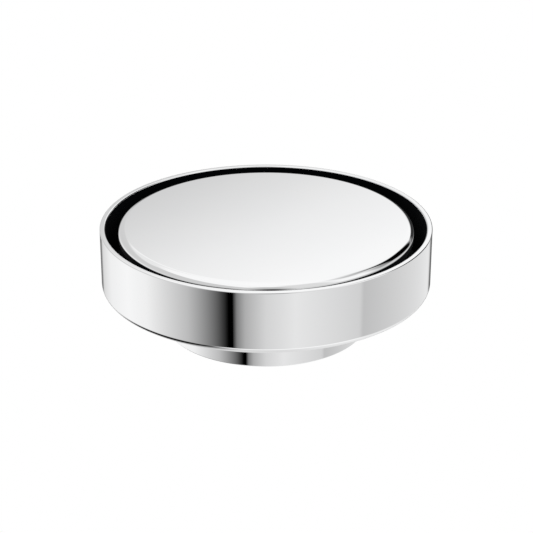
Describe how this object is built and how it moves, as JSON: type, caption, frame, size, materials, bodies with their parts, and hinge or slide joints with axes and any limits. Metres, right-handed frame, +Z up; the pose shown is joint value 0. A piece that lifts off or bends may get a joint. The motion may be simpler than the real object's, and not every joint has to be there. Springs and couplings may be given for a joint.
{
  "type": "round floor drain",
  "caption": "Round floor drain with a thin-walled polished ring, a flush solid lift-out cover with a water slot around it, a strainer, a spring-closed odour trap and a tube outlet.",
  "frame": {"origin": "centre of the outlet's lower edge, which is the lowest plane of the drain", "axes": "+Z up along the drain's axis, from the outlet to the rim; the cover's legs are at 45 degrees to +X and +Y"},
  "size_m": [0.13, 0.13, 0.0427],
  "materials": {
    "polished_chrome": "mirror-polished chrome plate on brass",
    "satin_steel": "satin stainless steel",
    "black_rubber": "black nitrile rubber",
    "grey_silicone": "translucent grey silicone",
    "trap_plastic": "moulded black ABS",
    "valve_plastic": "moulded white acetal",
    "spring_steel": "drawn stainless spring wire"
  },
  "bodies": {
    "drain_body": {"ring_body": "polished_chrome", "outlet_tail": "polished_chrome", "tail_screws": "satin_steel", "tail_seal_ring": "black_rubber"},
    "cover": {"cover_plate": "polished_chrome", "cover_legs": "satin_steel", "leg_studs": "satin_steel", "leg_feet": "black_rubber"},
    "strainer": {"strainer_plate": "satin_steel", "strainer_knob": "polished_chrome", "strainer_nut": "satin_steel"},
    "trap": {"trap_housing": "trap_plastic", "housing_seal_ring": "black_rubber", "stem_guide": "trap_plastic", "valve_spring": "spring_steel"},
    "valve": {"valve_stem": "satin_steel", "spring_retainer": "valve_plastic", "stem_clip": "satin_steel", "valve_disc": "valve_plastic", "valve_gasket": "grey_silicone", "gasket_clamp": "satin_steel", "clamp_screws": "satin_steel", "disc_nut": "satin_steel"}
  },
  "joints": [
    {"name": "cover_lift", "type": "slide", "parent": "drain_body", "child": "cover", "axis": [0, 0, 1], "range_m": [0, 0.1]},
    {"name": "strainer_lift", "type": "slide", "parent": "drain_body", "child": "strainer", "axis": [0, 0, 1], "range_m": [0, 0.065]},
    {"name": "trap_lift", "type": "slide", "parent": "drain_body", "child": "trap", "axis": [0, 0, 1], "range_m": [0, 0.04]},
    {"name": "valve_slide", "type": "slide", "parent": "trap", "child": "valve", "axis": [0, 0, -1], "range_m": [0, 0.004], "stiffness_N_per_m": 70, "springref_m": -0.007, "deforming": ["valve_spring"]}
  ],
  "couplings": [
    {"joint": "strainer_lift", "follows": "cover_lift", "ratio": 0.65},
    {"joint": "trap_lift", "follows": "cover_lift", "ratio": 0.4}
  ]
}
